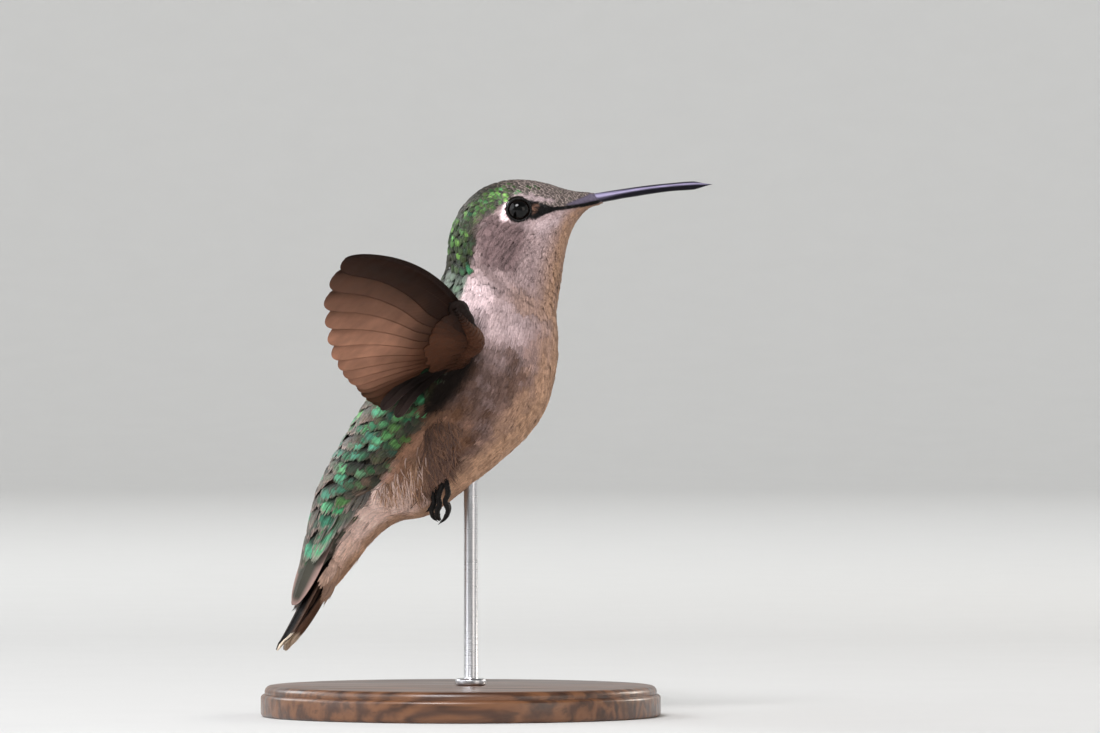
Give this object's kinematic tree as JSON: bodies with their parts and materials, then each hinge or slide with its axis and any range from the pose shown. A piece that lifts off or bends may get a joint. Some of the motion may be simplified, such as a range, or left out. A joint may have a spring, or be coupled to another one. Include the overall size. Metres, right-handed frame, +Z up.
{
  "type": "ruby-throated hummingbird on display stand",
  "caption": "Life-size still model of a hovering female-type ruby-throated hummingbird, wings back and bill raised, held by a rod on a round wooden base.",
  "frame": {"origin": "centre of the stand base's flat underside", "axes": "+X the way the bird faces, -Y its right side, +Z up"},
  "size_m": [0.0588, 0.1062, 0.0698],
  "materials": {
    "head_feathers": "small overlapping feathers, glossy bronze-green on the crown and nape, whitish on the throat",
    "neck_feathers": "soft whitish feathers, green on the hindneck",
    "body_feathers": "soft grey-buff breast and belly feathers, scaly green back",
    "rump_feathers": "scaly emerald feathers with buff fringes",
    "undertail_feathers": "loose whitish feathers",
    "tail_feathers": "smooth stiff vanes, green at the root, black beyond and white at the tips",
    "wing_feathers": "smooth stiff dusky brown vanes with dark shafts",
    "foot_skin": "dark scaly skin with small black claws",
    "eye": "wet black",
    "bill_horn": "black horn with a soft gloss",
    "base_wood": "turned dark wood with a satin varnish",
    "rod_steel": "fine brushed round rod"
  },
  "bodies": {
    "root": {"head": "head_feathers", "neck": "neck_feathers", "trunk": "body_feathers", "uppertail_coverts": "rump_feathers", "undertail_coverts": "undertail_feathers", "tail": "tail_feathers", "wing_right": "wing_feathers", "wing_left": "wing_feathers", "leg_right": "foot_skin", "leg_left": "foot_skin", "eye_right": "eye", "eye_left": "eye", "bill_upper": "bill_horn", "bill_lower": "bill_horn", "stand_base": "base_wood", "stand_rod": "rod_steel"}
  },
  "joints": []
}
